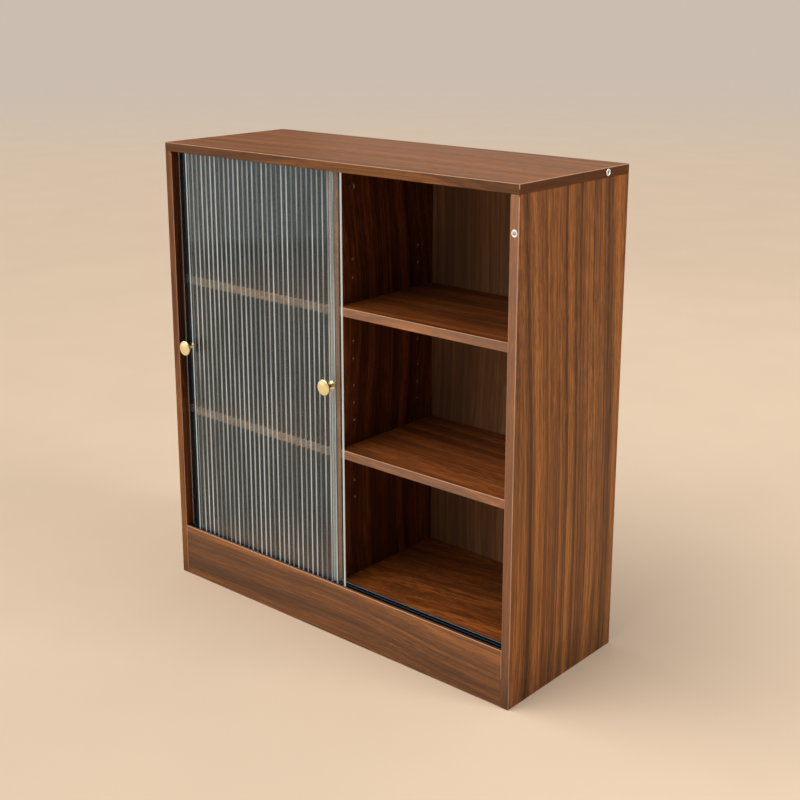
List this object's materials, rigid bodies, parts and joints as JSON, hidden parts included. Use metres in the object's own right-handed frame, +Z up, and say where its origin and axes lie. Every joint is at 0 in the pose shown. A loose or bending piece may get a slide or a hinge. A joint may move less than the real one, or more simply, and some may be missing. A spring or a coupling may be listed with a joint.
{
  "type": "bookcase with sliding doors",
  "caption": "Low free-standing bookcase with a middle divider, adjustable shelves, a tall plinth and fluted glass doors that slide past each other in twin-channel runners.",
  "frame": {"origin": "middle of the base of the whole object, knobs included, on the floor", "axes": "+Z up, +X to the viewer's right when facing the doors, the doors face -Y"},
  "size_m": [0.8, 0.3166, 0.85],
  "materials": {
    "walnut_foil": "satin walnut-grain foil on particle board, eased edges",
    "fluted_glass": "clear glass, vertical convex flutes on the front face, ground edges",
    "brass": "satin polished",
    "track_plastic": "black extruded plastic, slight sheen",
    "zinc": "bright zinc plate",
    "dowel_beech": "plain turned beech"
  },
  "bodies": {
    "carcass": {"bottom_panel": "walnut_foil", "divider_front_cam": "zinc", "divider_front_cam_bolt": "zinc", "divider_front_dowel": "dowel_beech", "divider_panel": "walnut_foil", "divider_rear_cam": "zinc", "divider_rear_cam_bolt": "zinc", "divider_rear_dowel": "dowel_beech", "left_back_panel": "walnut_foil", "left_front_dowel": "dowel_beech", "left_rear_dowel": "dowel_beech", "left_side_front_cam": "zinc", "left_side_front_cam_bolt": "zinc", "left_side_panel": "walnut_foil", "left_side_rear_cam": "zinc", "left_side_rear_cam_bolt": "zinc", "lower_left_shelf": "walnut_foil", "lower_left_shelf_pin_front_left": "zinc", "lower_left_shelf_pin_front_right": "zinc", "lower_left_shelf_pin_rear_left": "zinc", "lower_left_shelf_pin_rear_right": "zinc", "lower_right_shelf": "walnut_foil", "lower_right_shelf_pin_front_left": "zinc", "lower_right_shelf_pin_front_right": "zinc", "lower_right_shelf_pin_rear_left": "zinc", "lower_right_shelf_pin_rear_right": "zinc", "lower_track": "track_plastic", "plinth": "walnut_foil", "rear_base_rail": "walnut_foil", "right_back_panel": "walnut_foil", "right_front_dowel": "dowel_beech", "right_rear_dowel": "dowel_beech", "right_side_front_cam": "zinc", "right_side_front_cam_bolt": "zinc", "right_side_panel": "walnut_foil", "right_side_rear_cam": "zinc", "right_side_rear_cam_bolt": "zinc", "side_edge_insert": "zinc", "top_edge_insert": "zinc", "top_panel": "walnut_foil", "upper_left_shelf": "walnut_foil", "upper_left_shelf_pin_front_left": "zinc", "upper_left_shelf_pin_front_right": "zinc", "upper_left_shelf_pin_rear_left": "zinc", "upper_left_shelf_pin_rear_right": "zinc", "upper_right_shelf": "walnut_foil", "upper_right_shelf_pin_front_left": "zinc", "upper_right_shelf_pin_front_right": "zinc", "upper_right_shelf_pin_rear_left": "zinc", "upper_right_shelf_pin_rear_right": "zinc", "upper_track": "track_plastic"},
    "left_door": {"left_door_glass": "fluted_glass", "left_knob": "brass", "left_knob_rose": "brass", "left_knob_screw": "zinc"},
    "right_door": {"right_door_glass": "fluted_glass", "right_knob": "brass", "right_knob_rose": "brass", "right_knob_screw": "zinc"}
  },
  "joints": [
    {"name": "right_door_slide", "type": "slide", "parent": "carcass", "child": "right_door", "axis": [1, 0, 0], "range_m": [0, 0.351]},
    {"name": "left_door_slide", "type": "slide", "parent": "carcass", "child": "left_door", "axis": [1, 0, 0], "range_m": [0, 0.002]}
  ]
}
